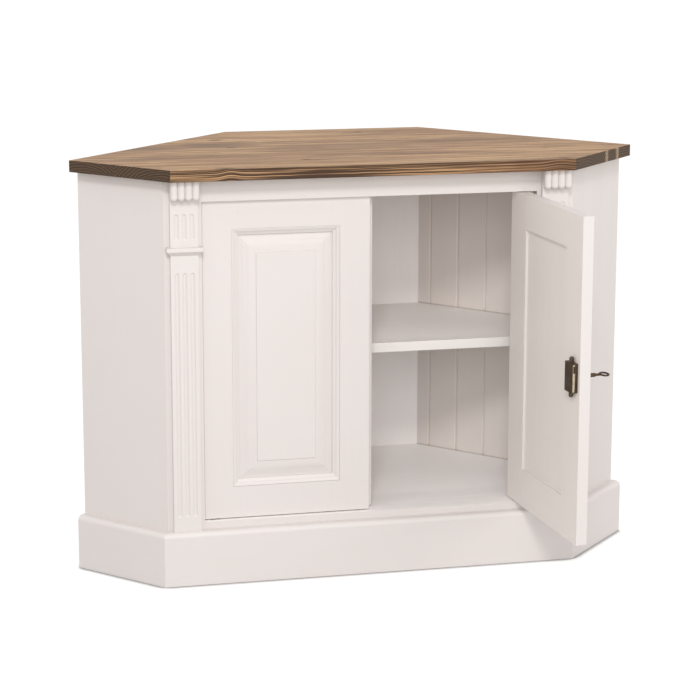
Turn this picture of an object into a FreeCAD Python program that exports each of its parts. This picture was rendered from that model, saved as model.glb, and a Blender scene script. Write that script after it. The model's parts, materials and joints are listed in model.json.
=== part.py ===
import FreeCAD
import Part
import math
import os
import re
import Sketcher

os.makedirs("parts", exist_ok=True)
doc = FreeCAD.newDocument("CornerCabinet")

# Frame: origin on the floor under the middle of the front plinth board,
# +X to the right along the front, +Y towards the room corner, +Z up.

# Driving dimensions, in millimetres and degrees
SIZES = {
    # carcass
    "total_height": 760,
    "top_thickness": 21,
    "front_width": 750,
    "side_run": 136,
    "rear_width": 392,
    "top_front_overhang": 40,
    "top_side_overhang": 22,
    "board_thickness": 20,
    "panel_thickness": 18,
    "stile_width": 68,
    "floor_height": 112,
    "rail_depth": 50,
    "top_rail_height": 42,
    "bottom_rail_height": 50,
    "rear_panel_inset": 19,
    # plinth
    "plinth_thickness": 20,
    "plinth_height": 99,
    "plinth_round": 9,
    # shelf and cleats
    "shelf_height": 408,
    "shelf_setback": 81,
    "shelf_clearance": 0.5,
    "cleat_size": 20,
    "cleat_setback": 12,
    "rear_cleat_length": 300,
    # jointed back boards
    "back_board_thickness": 12,
    "back_board_inset": 18,
    "back_board_cover": 63,
    "first_board_width": 28,
    "board_chamfer": 3,
    "tongue_thickness": 4,
    "tongue_length": 6,
    "tongue_gap": 0.3,
    # pilasters, capitals and consoles
    "pilaster_width": 50,
    "pilaster_projection": 10,
    "pilaster_margin": 11,
    "flute_width": 8,
    "flute_depth": 2.2,
    "flute_spacing": 13.8,
    "flute_foot_margin": 31,
    "flute_head_margin": 35,
    "frieze_flute_margin": 16,
    "frieze_height": 120,
    "capital_neck_height": 8,
    "capital_slab_height": 7,
    "capital_width": 65,
    "capital_projection": 8,
    "console_height": 36,
    "console_projection": 19,
    "console_reed_spacing": 12.8,
    "console_reed_radius": 6.8,
    "frieze_flute_head_gap": 29,
    # doors
    "door_thickness": 20,
    "door_recess": 8,
    "door_gap": 2.2,
    "door_top_gap": 1.5,
    "hinge_gap": 0.8,
    "meeting_gap": 4,
    "hinge_stile_width": 66,
    "meeting_stile_width": 68,
    "door_top_rail_height": 63,
    "door_bottom_rail_height": 71,
    "hinge_edge_round": 2,
    "panel_rebate": 13,
    "panel_edge_thickness": 5.5,
    "panel_clearance": 0.2,
    "panel_back_recess": 4,
    "moulding_width": 12,
    "moulding_flat": 1.2,
    "moulding_recess": 0.5,
    "bead_width": 6,
    "bead_slope_depth": 2.5,
    "bead_step": 1.5,
    "cove_foot": 1.5,
    "cove_width": 19,
    "cove_depth": 7,
    "cove_radius": 60,
    "crest_width": 4,
    "crest_fall": 6,
    "panel_flat_width": 8,
    "panel_step": 1.5,
    "strip_width": 28,
    "strip_thickness": 5,
    "strip_projection": 8.7,
    "strip_relief": 0.5,
    "left_rest_angle": 0,
    "right_rest_angle": 96.6,
    # pivot hinges
    "pin_from_edge": 20,
    "pin_from_front": 5.5,
    "pin_radius": 2.2,
    "pin_reach": 12,
    "pin_clearance": 0.05,
    "bush_radius": 3.6,
    "bush_length": 14,
    "hinge_plate_thickness": 2.4,
    "hinge_plate_length": 40,
    "hinge_plate_end": 4,
    "hinge_plate_width": 16,
    # screws
    "screw_radius": 1.5,
    "screw_head_radius": 3,
    "screw_head_height": 1.8,
    "screw_length": 14,
    "screw_clearance": 0.05,
    "top_screw_length": 32,
    # rim lock and key
    "lock_height": 412,
    "lock_edge_distance": 8,
    "lock_case_width": 30,
    "lock_case_height": 52,
    "lock_case_depth": 8,
    "lock_plate_thickness": 3,
    "lock_lug_radius": 4,
    "lock_lug_length": 10.5,
    "lock_screw_inset": 8,
    "lock_wall": 2,
    "lock_bolt_thickness": 3.2,
    "lock_bolt_height": 12,
    "lock_bolt_play": 1.5,
    "lock_bolt_clearance": 0.3,
    "lock_bolt_setback": 0.5,
    "key_cavity_radius": 9.5,
    "key_shank_radius": 2.3,
    "key_hole_radius": 3,
    "key_reach": 46,
    "key_tip_gap": 1.5,
    "key_bit_reach": 8,
    "key_bit_thickness": 2.4,
    "key_bit_length": 3.5,
    "key_collar_radius": 3.6,
    "key_collar_start": 7,
    "key_collar_length": 11,
    "key_taper_length": 4,
    "key_bow_length": 18,
    "key_bow_width": 25,
    "key_bow_wire": 1.7,
    # slide bolt of the left door
    "slide_from_strip": 4,
    "slide_plate_width": 18,
    "slide_plate_height": 52,
    "slide_plate_thickness": 2,
    "slide_plate_top_gap": 10,
    "slide_block_width": 12,
    "slide_block_height": 40,
    "slide_block_depth": 10,
    "slide_rod_radius": 3,
    "slide_rod_length": 84,
    "slide_knob_radius": 4,
    "slide_knob_length": 9,
    "slide_knob_height": 6,
    "slide_travel": 12,
    # cuts reach past the faces they leave
    "overrun": 2,
}

# Worked-out sizes, as formulas of the sizes above
DERIVED = {
    "root_two": "sqrt(2)",
    "mitre": "sqrt(2) - 1",
    "carcass_top": "total_height - top_thickness",
    "front_half": "front_width / 2",
    "rear_half": "rear_width / 2",
    "opening_half": "front_half - stile_width",
    "face_y": "plinth_thickness / 2",
    "frame_back_y": "face_y + board_thickness",
    "rail_back_y": "face_y + rail_depth",
    "rail_bottom": "carcass_top - top_rail_height",
    "floor_bottom": "floor_height - panel_thickness",
    "shelf_bottom": "shelf_height - panel_thickness",
    "shelf_front_y": "face_y + shelf_setback",
    "side_line": "front_half - face_y",
    "side_inner_line": "side_line - board_thickness * root_two",
    "wall_line": "front_half + 2 * side_run + face_y",
    "boards_inner_line": "wall_line - (back_board_inset + back_board_thickness) * root_two",
    "boards_outer_line": "wall_line - back_board_inset * root_two",
    "rear_y": "wall_line - rear_half",
    "rear_outer_y": "rear_y - rear_panel_inset",
    "rear_inner_y": "rear_outer_y - panel_thickness",
    "rear_corner_x": "boards_inner_line - rear_inner_y",
    "boards_run": "(boards_inner_line + side_inner_line - 2 * rear_corner_x) / root_two",
    "pilaster_x": "front_half - pilaster_margin - pilaster_width / 2",
    "pilaster_y": "face_y - pilaster_projection",
    "capital_top": "carcass_top - frieze_height",
    "capital_neck_top": "capital_top - capital_slab_height",
    "capital_height": "capital_neck_top - capital_neck_height",
    "console_bottom": "carcass_top - console_height",
    "flute_radius": "(flute_width * flute_width / 4 + flute_depth * flute_depth) / (2 * flute_depth)",
    "door_width": "opening_half - hinge_gap - meeting_gap / 2",
    "door_half_thickness": "door_thickness / 2",
    "door_bottom": "floor_height + door_gap",
    "door_top": "rail_bottom - door_top_gap",
    "pin_x": "opening_half - hinge_gap - pin_from_edge",
    "pin_y": "face_y + door_recess + pin_from_front",
    "pin_offset": "door_half_thickness - pin_from_front",
    "meeting_edge": "door_width - pin_from_edge",
    "lip_start": "hinge_stile_width - pin_from_edge",
    "lip_end": "meeting_edge - meeting_stile_width",
    "lip_bottom": "door_bottom + door_bottom_rail_height",
    "lip_top": "door_top - door_top_rail_height",
    "panel_start": "lip_start - panel_rebate",
    "panel_end": "lip_end + panel_rebate",
    "panel_bottom": "lip_bottom - panel_rebate",
    "panel_top": "lip_top + panel_rebate",
    "panel_back": "door_half_thickness - panel_back_recess",
    "panel_edge_front": "panel_back - panel_edge_thickness",
    "panel_flat_front": "panel_edge_front - cove_depth",
    "panel_field_front": "panel_flat_front - panel_step",
    "cove_start": "moulding_width + cove_foot",
    "cove_square": "cove_width * cove_width + cove_depth * cove_depth",
    "cove_reach": "sqrt(cove_radius * cove_radius / cove_square - 1 / 4)",
    "cove_axis_margin": "cove_start + cove_width / 2 - cove_depth * cove_reach",
    "cove_axis_front": "panel_edge_front - cove_depth / 2 - cove_width * cove_reach",
    "crest_margin": "cove_start + cove_width + crest_width",
    "crest_end": "panel_flat_front + crest_fall",
    "field_margin": "crest_margin + panel_flat_width",
    "moulding_front": "moulding_recess - door_half_thickness",
    "bead_slope_end": "moulding_front + bead_slope_depth",
    "bead_step_end": "bead_slope_end + bead_step",
    "moulding_slope_end": "bead_step_end + bead_slope_depth",
    "strip_end": "meeting_edge + strip_projection",
    "lock_near": "meeting_edge - lock_edge_distance",
    "lock_far": "lock_near - lock_case_width",
    "lock_middle": "lock_near - lock_case_width / 2",
    "lock_bottom": "lock_height - lock_case_height / 2",
    "lock_top": "lock_height + lock_case_height / 2",
    "lock_plate_back": "door_half_thickness + lock_plate_thickness",
    "lock_back": "lock_plate_back + lock_case_depth",
    "lug_straight": "lock_lug_length - lock_lug_radius",
    "key_height": "lock_height",
    "bolt_channel_bottom": "key_height + key_cavity_radius - lock_bolt_clearance",
    "bolt_bottom": "key_height + key_cavity_radius",
    "bolt_back": "lock_back - lock_wall - lock_bolt_clearance",
    "lock_bolt_length": "lock_case_width - lock_wall - lock_bolt_setback - lock_bolt_play",
    "key_front": "door_half_thickness + key_reach",
    "slide_middle": "strip_end - strip_width - slide_from_strip - slide_plate_width / 2",
    "slide_plate_top": "door_top - slide_plate_top_gap",
    "slide_plate_middle": "slide_plate_top - slide_plate_height / 2",
    "slide_plate_back": "door_half_thickness + slide_plate_thickness",
    "slide_rod_y": "slide_plate_back + slide_block_depth / 2",
    "slide_rod_top": "door_top - door_top_gap / 2",
    "slide_rod_bottom": "slide_rod_top - slide_rod_length",
}

# Places of screws along a hinge plate, as shares of its length from the pin end
HINGE_SCREW_SHARES = (0.55, 0.82)
# Places of the screws along a top cleat
CLEAT_SCREW_SHARES = (0.3, 0.75)
# Places of the screws along the rear cleat, from its middle
REAR_SCREW_SHARE = 0.33
# Narrowest last board of the back, as a share of a whole board
NARROWEST_BOARD_SHARE = 0.2
# Half width of a console's back block, as a share of the reeds' half width
CONSOLE_BACK_SHARE = 0.93
# Flutes of a pilaster and reeds of a console, in spacings from their middle
FLUTE_STEPS = (-1, 0, 1)
REED_STEPS = (-1.5, -0.5, 0.5, 1.5)
# Turn of the rest pose: -1 for the left side, 1 for the right side
SIDES = {"left": -1, "right": 1}

sheet = doc.addObject("Spreadsheet::Sheet", "Sizes")
for row, (name, size) in enumerate(SIZES.items(), start=1):
    sheet.set(f"A{row}", name)
    sheet.set(f"B{row}", str(size))
    sheet.setAlias(f"B{row}", name)
for row, (name, text) in enumerate(DERIVED.items(), start=1):
    sheet.set(f"C{row}", name)
    sheet.set(f"D{row}", f"={text}")
    sheet.setAlias(f"D{row}", name)
doc.recompute()

ALIAS = re.compile(r"\b(" + "|".join(list(SIZES) + list(DERIVED)) + r")\b")
parts = {}


def formula(text):
    """Turn a formula of size names into an expression on the sheet."""
    return ALIAS.sub(r"Sizes.\1", str(text))


def number(text):
    """Value of a formula of size names."""
    return float(sheet.evalExpression(formula(text)))


def keep(thing, label):
    """File a finished piece under its node name."""
    thing.Label = label
    parts[label] = thing
    return thing


def place(thing, x, y, z):
    """Tie an object's position to the sheet."""
    for axis, text in zip("xyz", (x, y, z)):
        thing.setExpression(f"Placement.Base.{axis}", formula(text))


# Plain solids
def box(x, y, z, name="Block"):
    """Block between pairs of formulas along the three axes."""
    block = doc.addObject("Part::Box", name)
    for side, (start, end) in zip(("Length", "Width", "Height"), (x, y, z)):
        block.setExpression(side, formula(f"({end}) - ({start})"))
    place(block, x[0], y[0], z[0])
    return block


def cylinder(radius, length, x, y, z, turn=None, name="Round"):
    """Cylinder that starts at a point and runs along +Z, or along another axis after a turn."""
    rod = doc.addObject("Part::Cylinder", name)
    if turn:
        rod.Placement = FreeCAD.Placement(FreeCAD.Vector(), turn)
    rod.setExpression("Radius", formula(radius))
    rod.setExpression("Height", formula(length))
    place(rod, x, y, z)
    return rod


def cone(start_radius, end_radius, length, x, y, z, turn=None):
    """Cone that starts at a point and runs along +Z, or along another axis after a turn."""
    taper = doc.addObject("Part::Cone", "Taper")
    if turn:
        taper.Placement = FreeCAD.Placement(FreeCAD.Vector(), turn)
    taper.setExpression("Radius1", formula(start_radius))
    taper.setExpression("Radius2", formula(end_radius))
    taper.setExpression("Height", formula(length))
    place(taper, x, y, z)
    return taper


def ball(radius, x, y, z):
    """Sphere about a point."""
    sphere = doc.addObject("Part::Sphere", "Ball")
    sphere.setExpression("Radius", formula(radius))
    place(sphere, x, y, z)
    return sphere


def wedge(near_x, near_z, far_x, far_z, y):
    """Block whose rectangle changes from one to another along Y."""
    taper = doc.addObject("Part::Wedge", "Taper")
    limits = {
        "Xmin": near_x[0], "Xmax": near_x[1], "Zmin": near_z[0], "Zmax": near_z[1],
        "X2min": far_x[0], "X2max": far_x[1], "Z2min": far_z[0], "Z2max": far_z[1],
        "Ymin": y[0], "Ymax": y[1],
    }
    for side, text in limits.items():
        setattr(taper, side, number(text))
        taper.setExpression(side, formula(text))
    return taper


TURN_TO_X = FreeCAD.Rotation(FreeCAD.Vector(0, 1, 0), 90)
TURN_TO_Y = FreeCAD.Rotation(FreeCAD.Vector(1, 0, 0), -90)
TURN_TO_MINUS_Y = FreeCAD.Rotation(FreeCAD.Vector(1, 0, 0), 90)
TURN_DOWN = FreeCAD.Rotation(FreeCAD.Vector(1, 0, 0), 180)


def fuse(things, name="Joined"):
    """One solid from several."""
    union = doc.addObject("Part::MultiFuse", name)
    union.Shapes = things
    return union


def group(things, name="Group"):
    """Several solids kept apart in one object."""
    collection = doc.addObject("Part::Compound", name)
    collection.Links = things
    return collection


def cut(base, tools, name="Cut"):
    """A solid with one or more tools taken away."""
    result = doc.addObject("Part::Cut", name)
    result.Base = base
    result.Tool = tools[0] if len(tools) == 1 else fuse(tools)
    return result


# Boards drawn in plan and padded upwards
def origin_plane(body, role):
    """Datum plane of a body, found by its role."""
    return next(plane for plane in body.Origin.OriginFeatures if plane.Role == role)


def board(points, bottom, top, name="Board"):
    """Body padded between two heights from a plan of (x, y) formulas."""
    body = doc.addObject("PartDesign::Body", name)
    plan = body.newObject("Sketcher::SketchObject", "Plan")
    plan.AttachmentSupport = [(origin_plane(body, "XY_Plane"), "")]
    plan.MapMode = "FlatFace"
    corners = [FreeCAD.Vector(number(x), number(y), 0) for x, y in points]
    count = len(corners)
    for index in range(count):
        plan.addGeometry(Part.LineSegment(corners[index], corners[(index + 1) % count]), False)
    for index, (x, y) in enumerate(points):
        plan.addConstraint(Sketcher.Constraint("Coincident", index, 2, (index + 1) % count, 1))
        for direction, text in (("DistanceX", x), ("DistanceY", y)):
            size = Sketcher.Constraint(direction, -1, 1, index, 1, number(text))
            tie = plan.addConstraint(size)
            plan.setExpression(f"Constraints[{tie}]", formula(text))
    pad = body.newObject("PartDesign::Pad", "Pad")
    pad.Profile = plan
    pad.setExpression("Length", formula(f"({top}) - ({bottom})"))
    place(body, 0, 0, bottom)
    return body


def round_edge(body, radius, middle):
    """Round the edge of a body whose middle is nearest to a point of its own frame."""
    doc.recompute()
    pad = body.Tip
    target = FreeCAD.Vector(*[number(text) for text in middle])
    edges = pad.Shape.Edges
    nearest = min(range(len(edges)), key=lambda index: (edges[index].CenterOfMass - target).Length)
    fillet = body.newObject("PartDesign::Fillet", "Round")
    fillet.Base = (pad, [f"Edge{nearest + 1}"])
    fillet.setExpression("Radius", formula(radius))
    body.Tip = fillet


def both(points):
    """A right-hand half plan and its mirror image, as one closed plan."""
    return points + [(f"-({x})", y) for x, y in reversed(points)]


def on_side(points, sign):
    """A right-hand plan moved to one side of the cabinet."""
    placed = [(f"{sign} * ({x})", y) for x, y in points]
    return placed if sign > 0 else placed[::-1]


def across(sign, start, end):
    """Pair of X formulas for a right-hand span moved to one side."""
    if sign > 0:
        return (start, end)
    return (f"-({end})", f"-({start})")


def side_and_wall(side, wall):
    """Corner where a line along the side (x - y) meets a line along the wall (x + y)."""
    return (f"(({wall}) + ({side})) / 2", f"(({wall}) - ({side})) / 2")


# Top board
TOP_SIDE = "side_line + top_side_overhang * root_two"
TOP_FRONT = "face_y - top_front_overhang"


def make_top():
    plan = [
        (f"{TOP_SIDE} + {TOP_FRONT}", TOP_FRONT),
        side_and_wall(TOP_SIDE, "wall_line"),
        ("rear_half", "rear_y"),
    ]
    blank = board(both(plan), "carcass_top", "total_height", "TopBlank")
    keep(cut(blank, [screw_hole(x, y) for x, y in top_screw_places()]), "top_board")


# Carcass panels
def make_carcass():
    mitre_x = "front_half - board_thickness * mitre"
    for side, sign in SIDES.items():
        side_plan = [
            ("front_half", "face_y"),
            ("front_half + side_run", "face_y + side_run"),
            side_and_wall("side_inner_line", "wall_line"),
            (mitre_x, "frame_back_y"),
        ]
        keep(board(on_side(side_plan, sign), 0, "carcass_top"), f"{side}_side_panel")
        stile_plan = [
            ("opening_half", "face_y"),
            ("front_half", "face_y"),
            (mitre_x, "frame_back_y"),
            ("opening_half", "frame_back_y"),
        ]
        keep(board(on_side(stile_plan, sign), 0, "carcass_top"), f"{side}_stile")
    rear_plan = [
        ("boards_outer_line - rear_inner_y", "rear_inner_y"),
        ("boards_outer_line - rear_outer_y", "rear_outer_y"),
    ]
    keep(board(both(rear_plan), 0, "carcass_top"), "rear_panel")
    floor_plan = [
        ("opening_half", "rail_back_y"),
        ("opening_half", "frame_back_y"),
        ("side_inner_line + frame_back_y", "frame_back_y"),
        side_and_wall("side_inner_line", "boards_inner_line"),
        ("rear_corner_x", "rear_inner_y"),
    ]
    keep(board(both(floor_plan), "floor_bottom", "floor_height"), "floor_panel")
    shelf_side = "side_inner_line - shelf_clearance * root_two"
    shelf_wall = "boards_inner_line - shelf_clearance * root_two"
    shelf_rear = "rear_inner_y - shelf_clearance"
    shelf_plan = [
        (f"{shelf_side} + shelf_front_y", "shelf_front_y"),
        side_and_wall(shelf_side, shelf_wall),
        (f"{shelf_wall} - ({shelf_rear})", shelf_rear),
    ]
    keep(board(both(shelf_plan), "shelf_bottom", "shelf_height"), "shelf")


def make_rails():
    width = ("-opening_half", "opening_half")
    depth = ("face_y", "rail_back_y")
    top_blank = box(width, depth, ("rail_bottom", "carcass_top"))
    bottom_blank = box(width, depth, ("floor_height - bottom_rail_height", "floor_height"))
    hinge_spots = [spot for sign in SIDES.values() for spot in hinge_screw_spots(sign)]
    top_holes = [hinge_screw(spot, True, "screw_clearance") for spot in hinge_spots]
    top_pockets = [hinge_plate(sign, True) for sign in SIDES.values()]
    bolt_hole = cylinder(
        "slide_rod_radius + lock_bolt_clearance",
        "slide_travel + overrun",
        "slide_middle - pin_x",
        "pin_y + pin_offset + slide_rod_y",
        "rail_bottom - overrun",
    )
    bottom_holes = [hinge_screw(spot, False, "screw_clearance") for spot in hinge_spots]
    bottom_pockets = [hinge_plate(sign, False) for sign in SIDES.values()]
    keep(cut(top_blank, top_pockets + top_holes + [bolt_hole]), "top_rail")
    keep(cut(bottom_blank, bottom_pockets + bottom_holes), "bottom_rail")


# Jointed boards of the diagonal back
def make_back_boards():
    covers = number("(boards_run - first_board_width) / back_board_cover")
    full_boards = max(1, math.ceil(covers - NARROWEST_BOARD_SHARE))
    joints = [f"first_board_width + {index} * back_board_cover" for index in range(full_boards)]
    starts = ["0"] + joints
    ends = joints + ["boards_run"]
    low = "(back_board_thickness - tongue_thickness) / 2"
    high = "(back_board_thickness + tongue_thickness) / 2"
    for side, sign in SIDES.items():
        boards = []
        for start, end in zip(starts, ends):
            outline = []
            if start == "0":
                outline += [("back_board_thickness", "back_board_thickness"), (start, start)]
            else:
                root = f"{start} + tongue_length + tongue_gap"
                outline += [
                    (start, "back_board_thickness"),
                    (start, f"{high} + tongue_gap"),
                    (root, f"{high} + tongue_gap"),
                    (root, f"{low} - tongue_gap"),
                    (start, f"{low} - tongue_gap"),
                    (start, "board_chamfer"),
                    (f"{start} + board_chamfer", "0"),
                ]
            if end == "boards_run":
                outline += [(end, "0"), (end, "back_board_thickness")]
            else:
                outline += [
                    (f"{end} - board_chamfer", "0"),
                    (end, "board_chamfer"),
                    (end, low),
                    (f"{end} + tongue_length", low),
                    (f"{end} + tongue_length", high),
                    (end, high),
                    (end, "back_board_thickness"),
                ]
            plan = [
                (
                    f"rear_corner_x + (({along}) + ({out})) / root_two",
                    f"rear_inner_y + (({out}) - ({along})) / root_two",
                )
                for along, out in outline
            ]
            boards.append(board(on_side(plan, sign), 0, "carcass_top", "BackBoard"))
        keep(group(boards), f"{side}_back_boards")


# Cleats under the top, the shelf and the floor
def side_cleat(sign, front, bottom, top):
    near = f"side_inner_line + 2 * ({front})"
    inner = "side_inner_line - cleat_size * root_two"
    far = "boards_inner_line - shelf_clearance * root_two"
    plan = [
        side_and_wall("side_inner_line", near),
        side_and_wall("side_inner_line", far),
        side_and_wall(inner, far),
        side_and_wall(inner, near),
    ]
    return board(on_side(plan, sign), bottom, top, "Cleat")


def rear_cleat(bottom, top):
    return box(
        ("-rear_cleat_length / 2", "rear_cleat_length / 2"),
        ("rear_inner_y - cleat_size", "rear_inner_y"),
        (bottom, top),
    )


def make_cleats():
    heights = {"top": "carcass_top", "shelf": "shelf_bottom", "floor": "floor_bottom"}
    fronts = {
        "top": "frame_back_y + cleat_setback",
        "shelf": "shelf_front_y + cleat_setback",
        "floor": "frame_back_y + cleat_setback",
    }
    for what, height in heights.items():
        bottom = f"{height} - cleat_size"
        strips = [side_cleat(sign, fronts[what], bottom, height) for sign in SIDES.values()]
        strips.append(rear_cleat(bottom, height))
        if what == "top":
            places = top_screw_places()
            strips = [
                cut(strip, [screw_hole(x, y) for x, y in places[2 * index:2 * index + 2]])
                for index, strip in enumerate(strips)
            ]
        keep(group(strips), f"{what}_cleats")


def top_screw_places():
    """Plan places of the screws that hold the top: two in each side cleat, two in the rear cleat."""
    middle = "side_inner_line - cleat_size / root_two"
    near = "side_inner_line + 2 * (frame_back_y + cleat_setback)"
    far = "boards_inner_line"
    places = []
    for sign in SIDES.values():
        for share in CLEAT_SCREW_SHARES:
            x, y = side_and_wall(middle, f"({near}) + {share} * ({far} - ({near}))")
            places.append((f"{sign} * ({x})", y))
    for sign in SIDES.values():
        places.append((f"{sign} * {REAR_SCREW_SHARE} * rear_cleat_length", "rear_inner_y - cleat_size / 2"))
    return places


TOP_SCREW_FOOT = "carcass_top - cleat_size"


def screw_hole(x, y):
    return cylinder("screw_radius + screw_clearance", "top_screw_length", x, y, TOP_SCREW_FOOT)


def make_top_screws():
    screws = []
    for x, y in top_screw_places():
        shank = cylinder("screw_radius", "top_screw_length", x, y, TOP_SCREW_FOOT)
        head = cylinder("screw_head_radius", "screw_head_height", x, y, TOP_SCREW_FOOT, TURN_DOWN)
        screws.append(fuse([shank, head]))
    keep(group(screws), "top_screws")


# Plinth
def make_plinth():
    outer_x = "front_half + plinth_thickness * mitre"
    outer_y = "face_y - plinth_thickness"
    front = board(both([(outer_x, outer_y), ("front_half", "face_y")]), 0, "plinth_height")
    round_edge(front, "plinth_round", (0, outer_y, "plinth_height"))
    keep(front, "plinth_front")
    outer_line = "side_line + plinth_thickness * root_two"
    rear_x, rear_y = side_and_wall(outer_line, "wall_line")
    for side, sign in SIDES.items():
        plan = [
            (outer_x, outer_y),
            (rear_x, rear_y),
            ("front_half + side_run", "face_y + side_run"),
            ("front_half", "face_y"),
        ]
        plinth = board(on_side(plan, sign), 0, "plinth_height")
        middle = (
            f"{sign} * ({outer_x} + {rear_x}) / 2",
            f"({outer_y} + {rear_y}) / 2",
            "plinth_height",
        )
        round_edge(plinth, "plinth_round", middle)
        keep(plinth, f"{side}_plinth")


# Pilasters with flutes, capitals, frieze blocks and consoles
def flute(x, bottom, top):
    """Round-ended tool for one flute."""
    axis_y = "pilaster_y - flute_radius + flute_depth"
    rod = cylinder("flute_radius", f"({top}) - ({bottom})", x, axis_y, bottom)
    return fuse([rod, ball("flute_radius", x, axis_y, bottom), ball("flute_radius", x, axis_y, top)])


def fluted_block(sign, bottom, top, flute_bottom, flute_top):
    """Pilaster block with its row of flutes."""
    half = "pilaster_width / 2"
    span = across(sign, f"pilaster_x - {half}", f"pilaster_x + {half}")
    blank = box(span, ("pilaster_y", "face_y"), (bottom, top))
    tools = [
        flute(f"{sign} * pilaster_x + {step} * flute_spacing", flute_bottom, flute_top)
        for step in FLUTE_STEPS
    ]
    return cut(blank, tools)


def make_pilasters():
    half = "pilaster_width / 2"
    slab_half = "capital_width / 2"
    slab_front = "pilaster_y - capital_projection"
    for side, sign in SIDES.items():
        shaft = fluted_block(
            sign,
            "plinth_height",
            "capital_height",
            "plinth_height + flute_foot_margin",
            "capital_height - flute_head_margin",
        )
        keep(shaft, f"{side}_pilaster")
        frieze = fluted_block(
            sign,
            "capital_top",
            "carcass_top",
            "capital_top + frieze_flute_margin",
            "console_bottom - frieze_flute_head_gap",
        )
        keep(frieze, f"{side}_frieze")
        neck = wedge(
            across(sign, f"pilaster_x - {half}", f"pilaster_x + {half}"),
            ("-face_y", "-pilaster_y"),
            across(sign, f"pilaster_x - {slab_half}", f"pilaster_x + {slab_half}"),
            ("-face_y", f"-({slab_front})"),
            ("capital_height", "capital_neck_top"),
        )
        neck.Placement = FreeCAD.Placement(FreeCAD.Vector(), TURN_TO_MINUS_Y)
        slab = box(
            across(sign, f"pilaster_x - {slab_half}", f"pilaster_x + {slab_half}"),
            (slab_front, "face_y"),
            ("capital_neck_top", "capital_top"),
        )
        keep(fuse([neck, slab]), f"{side}_capital")
        keep(make_console(sign), f"{side}_console")


def make_console(sign):
    """Block of four upright reeds with rounded feet."""
    axis_y = "pilaster_y - console_projection + console_reed_radius"
    foot = "console_bottom + console_reed_radius"
    half = f"({REED_STEPS[-1]} * console_reed_spacing + console_reed_radius) * {CONSOLE_BACK_SHARE}"
    middle = f"{sign} * pilaster_x"
    width = (f"{middle} - {half}", f"{middle} + {half}")
    pieces = [box(width, (axis_y, "pilaster_y"), (foot, "carcass_top"))]
    for step in REED_STEPS:
        x = f"{middle} + {step} * console_reed_spacing"
        pieces.append(cylinder("console_reed_radius", f"carcass_top - ({foot})", x, axis_y, foot))
        pieces.append(ball("console_reed_radius", x, axis_y, foot))
    return fuse(pieces)


# Doors: pieces are drawn closed, about the middle of the thickness, and then swung to rest on the pins.
# Along a door, distances run from the pin towards the meeting edge.
def along(sign, start, end):
    """Pair of X formulas for a span of a door."""
    return across(-sign, start, end)


def hang(thing, side):
    """Hang a finished piece on its pins at the rest angle."""
    sign = SIDES[side]
    thing.Placement = FreeCAD.Placement(FreeCAD.Vector(), FreeCAD.Rotation(FreeCAD.Vector(0, 0, 1), 1))
    turn = f"({sign} * {side}_rest_angle)"
    place(thing, f"{sign} * pin_x - pin_offset * sin{turn}", f"pin_y + pin_offset * cos{turn}", 0)
    thing.setExpression("Placement.Rotation.Angle", formula(turn))


DOOR_DEPTH = ("-door_half_thickness", "door_half_thickness")


def make_door(side):
    sign = SIDES[side]
    rebate = inset_box(sign, "(-panel_clearance)", ("-door_half_thickness - overrun", "panel_back"))
    stile_height = ("door_bottom", "door_top")
    hinge_blank = door_hinge_blank(sign)
    bush_holes = [
        cylinder("bush_radius + pin_clearance", "bush_length + overrun", 0, "-pin_offset", bottom)
        for bottom in ("door_bottom - overrun", "door_top - bush_length")
    ]
    meeting_blank = box(along(sign, "lip_end", "meeting_edge"), DOOR_DEPTH, stile_height)
    meeting_tools = [rebate] + fitting_holes(side)
    rail_span = along(sign, "lip_start", "lip_end")
    top_blank = box(rail_span, DOOR_DEPTH, ("lip_top", "door_top"))
    bottom_blank = box(rail_span, DOOR_DEPTH, ("door_bottom", "lip_bottom"))
    pieces = {
        "hinge_stile": cut(hinge_blank, [rebate] + bush_holes),
        "meeting_stile": cut(meeting_blank, meeting_tools),
        "top_rail": cut(top_blank, [rebate]),
        "bottom_rail": cut(bottom_blank, [rebate]),
        "panel": raised_panel(sign),
        "panel_moulding": panel_moulding(sign),
        "hinge_bushes": hinge_bushes(),
    }
    for what, piece in pieces.items():
        hang(piece, side)
        keep(piece, f"{side}_door_{what}")


def door_hinge_blank(sign):
    """Hinge stile with a rounded front arris, so that it clears the frame as it turns."""
    edge = f"{-sign} * -pin_from_edge"
    inner = f"{-sign} * lip_start"
    plan = [
        (inner, "-door_half_thickness"),
        (edge, "-door_half_thickness"),
        (edge, "door_half_thickness"),
        (inner, "door_half_thickness"),
    ]
    stile = board(plan, "door_bottom", "door_top", "HingeStile")
    round_edge(stile, "hinge_edge_round", (edge, "-door_half_thickness", "(door_top - door_bottom) / 2"))
    return stile


def inset_box(sign, margin, depth):
    """Block over the panel opening, inset all round."""
    return box(
        along(sign, f"panel_start + {margin}", f"panel_end - {margin}"),
        depth,
        (f"panel_bottom + {margin}", f"panel_top - {margin}"),
    )


def inset_wedge(sign, near, far, depth):
    """Tapered block over the panel opening, with one inset at the front and another behind."""
    return wedge(
        along(sign, f"panel_start + {near}", f"panel_end - {near}"),
        (f"panel_bottom + {near}", f"panel_top - {near}"),
        along(sign, f"panel_start + {far}", f"panel_end - {far}"),
        (f"panel_bottom + {far}", f"panel_top - {far}"),
        depth,
    )


def cove_tools(sign):
    """Large rounds that hollow the four edges of a panel."""
    start, end = along(sign, "panel_start", "panel_end")
    upright = [
        cylinder("cove_radius", "panel_top - panel_bottom", x, "cove_axis_front", "panel_bottom")
        for x in (f"{start} + cove_axis_margin", f"{end} - cove_axis_margin")
    ]
    level = [
        cylinder("cove_radius", "panel_end - panel_start", start, "cove_axis_front", z, TURN_TO_X)
        for z in ("panel_bottom + cove_axis_margin", "panel_top - cove_axis_margin")
    ]
    return upright + level


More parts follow.
